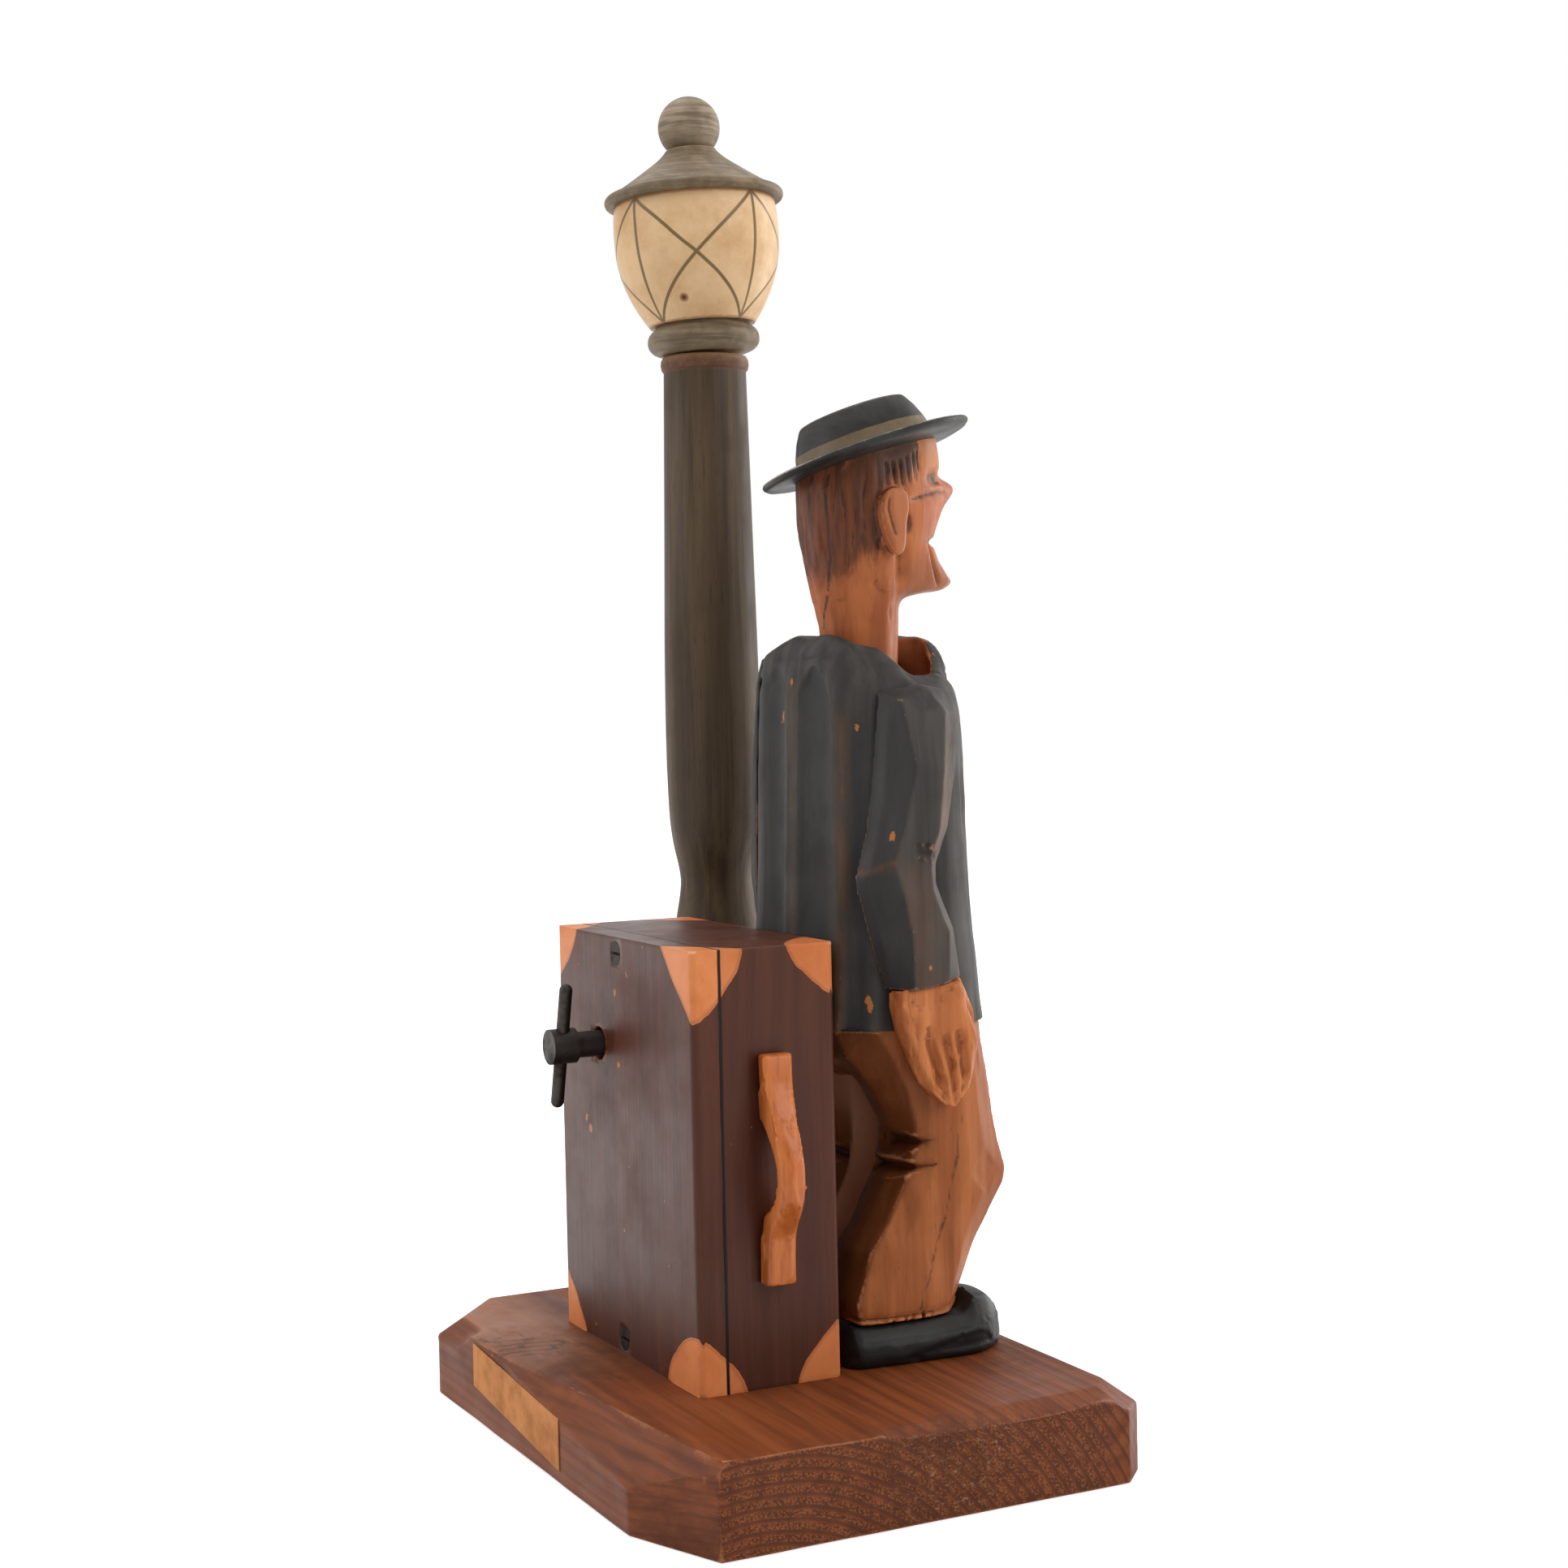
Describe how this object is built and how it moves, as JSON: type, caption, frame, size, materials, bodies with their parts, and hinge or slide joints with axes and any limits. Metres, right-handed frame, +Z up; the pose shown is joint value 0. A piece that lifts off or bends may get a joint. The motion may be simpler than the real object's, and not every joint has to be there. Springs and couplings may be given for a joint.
{
  "type": "music box",
  "caption": "Carved-wood musical figure: a man in a hat by a street lamp, with a key-wound spring movement in a suitcase that nods the figure's head.",
  "frame": {"origin": "middle of the underside of the base board", "axes": "+Z up, the man faces -Y, the key stands out of the suitcase at +Y, the lamp is at +X"},
  "size_m": [0.195, 0.1413, 0.4018],
  "materials": {
    "base_wood": "waxed, open end grain",
    "label_paper": "aged and bare",
    "screw_steel": "dull",
    "post_paint": "thin grey-brown paint over grain",
    "globe_paint": "cream paint with painted lines",
    "plain_wood": "unfinished",
    "case_paint": "satin brown paint, painted corners",
    "handle_wood": "varnished",
    "brass": "plain",
    "movement_steel": "bright",
    "key_iron": "dark, worn",
    "vane_metal": "thin sheet",
    "jacket_paint": "worn blue-grey paint over carved facets",
    "skin_wood": "stained, carved",
    "trouser_wood": "stained, carved",
    "shoe_paint": "black paint",
    "hat_paint": "black paint, worn rims, painted band"
  },
  "bodies": {
    "stand": {"base_slab": "base_wood", "tune_label": "label_paper", "base_screws": "screw_steel", "lamp_post": "post_paint", "lamp_gallery": "post_paint", "lamp_globe": "globe_paint", "lamp_roof": "post_paint", "lamp_finial": "post_paint", "lamp_dowel": "plain_wood", "suitcase_body": "case_paint", "suitcase_cover": "case_paint", "cover_screws": "screw_steel", "suitcase_handle": "handle_wood", "front_plate": "brass", "back_plate": "brass", "plate_pillars": "brass", "pillar_screws": "screw_steel", "movement_screws": "screw_steel", "comb_block": "movement_steel", "comb": "movement_steel", "comb_screws": "screw_steel", "click_spring": "movement_steel", "click_screw": "screw_steel", "rocker_pin": "movement_steel", "jacket": "jacket_paint", "right_sleeve": "jacket_paint", "left_sleeve": "jacket_paint", "right_hand": "skin_wood", "left_hand": "skin_wood", "trousers": "trouser_wood", "right_shoe": "shoe_paint", "left_shoe": "shoe_paint", "neck_pin": "movement_steel"},
    "key": {"key_stem": "key_iron", "key_bar": "key_iron", "winding_arbor": "movement_steel", "ratchet_wheel": "movement_steel"},
    "click": {"click_lever": "movement_steel"},
    "barrel": {"spring_barrel": "brass", "barrel_cap": "brass", "mainspring": "movement_steel"},
    "cylinder": {"cylinder_drum": "brass", "cylinder_arbor": "movement_steel", "cylinder_pinion": "brass", "cylinder_wheel": "brass", "nod_cam": "brass"},
    "second": {"second_arbor": "movement_steel", "second_wheel": "brass"},
    "fly": {"fly_arbor": "movement_steel", "fly_vanes": "vane_metal"},
    "rocker": {"rocker_lever": "brass"},
    "wire": {"pull_wire": "movement_steel"},
    "head": {"head": "skin_wood", "hat": "hat_paint", "hat_dowel": "plain_wood", "neck_lever": "brass"}
  },
  "joints": [
    {"name": "key_turn", "type": "hinge", "parent": "stand", "child": "key", "pos_m": [0.0205, 0.0165, 0.113], "axis": [0, 1, 0], "continuous": true},
    {"name": "click_rock", "type": "hinge", "parent": "stand", "child": "click", "pos_m": [0.0113, 0.0295, 0.104], "axis": [0, -1, 0], "range_deg": [0, 8], "stiffness_Nm_per_rad": 0.002, "springref_deg": -5.73},
    {"name": "barrel_turn", "type": "hinge", "parent": "stand", "child": "barrel", "pos_m": [0.0205, 0.0165, 0.113], "axis": [0, 1, 0], "continuous": true},
    {"name": "cylinder_turn", "type": "hinge", "parent": "stand", "child": "cylinder", "pos_m": [-0.00786, 0.0165, 0.118], "axis": [0, 1, 0], "continuous": true},
    {"name": "second_turn", "type": "hinge", "parent": "stand", "child": "second", "pos_m": [-0.00786, 0.0165, 0.1], "axis": [0, 1, 0], "continuous": true},
    {"name": "fly_turn", "type": "hinge", "parent": "stand", "child": "fly", "pos_m": [-0.00786, 0.0165, 0.088], "axis": [0, 1, 0], "continuous": true},
    {"name": "head_nod", "type": "hinge", "parent": "stand", "child": "head", "pos_m": [-0.0155, -0.0309, 0.19], "axis": [1, 0, 0], "range_deg": [0, 13]},
    {"name": "rocker_tilt", "type": "hinge", "parent": "stand", "child": "rocker", "pos_m": [-0.00786, -0.0007, 0.1279], "axis": [1, 0, 0], "range_deg": [0, 4.5]},
    {"name": "wire_slide", "type": "slide", "parent": "stand", "child": "wire", "axis": [0, 0, -1], "range_m": [0, 0.0035]}
  ],
  "couplings": [
    {"joint": "cylinder_turn", "follows": "barrel_turn", "ratio": -3},
    {"joint": "second_turn", "follows": "barrel_turn", "ratio": 12},
    {"joint": "fly_turn", "follows": "barrel_turn", "ratio": -36},
    {"joint": "rocker_tilt", "follows": "head_nod", "ratio": 0.31674},
    {"joint": "wire_slide", "follows": "head_nod", "m_per_rad": 0.014}
  ]
}
